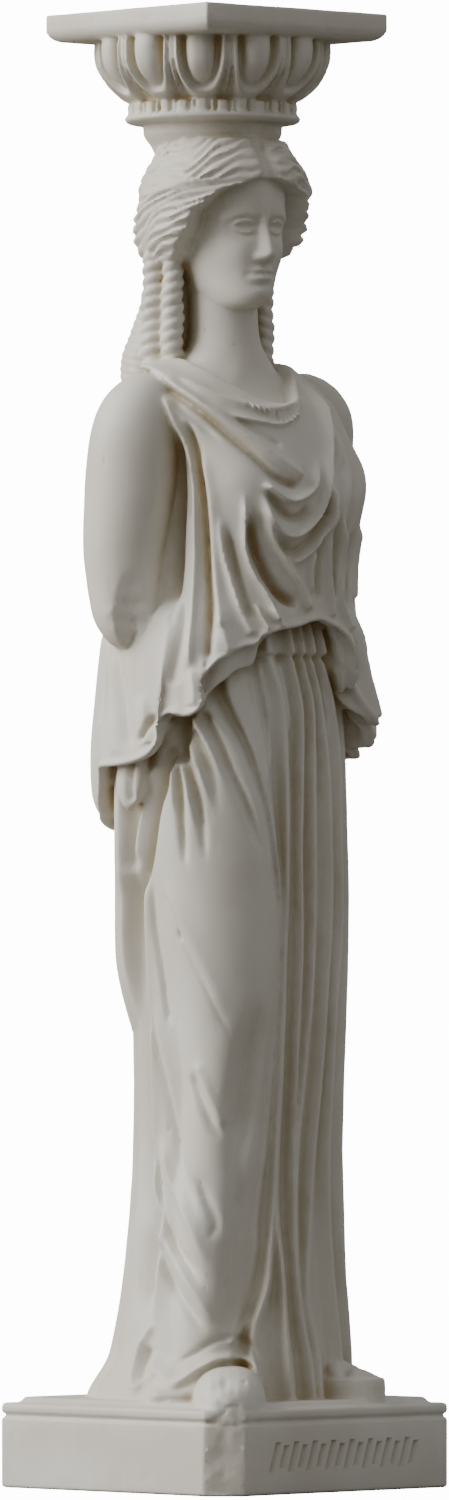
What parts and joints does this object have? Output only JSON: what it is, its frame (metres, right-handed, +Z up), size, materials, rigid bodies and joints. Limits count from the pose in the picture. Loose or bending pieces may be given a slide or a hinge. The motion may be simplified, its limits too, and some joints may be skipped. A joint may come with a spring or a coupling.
{
  "type": "caryatid statue",
  "caption": "Cast statuette of a standing draped woman who carries an egg-and-dart capital on her head, on a square plinth with one corner cut off",
  "frame": {"origin": "middle of the plinth's underside", "axes": "+Z up, along the figure; the figure faces -Y, so its right side is at -X"},
  "size_m": [0.0562, 0.056, 0.26],
  "materials": {
    "alabaster": "cast alabaster, satin, ivory, with a warm brown tone in the deep folds"
  },
  "bodies": {
    "root": {"caryatid_statue": "alabaster"}
  },
  "joints": []
}
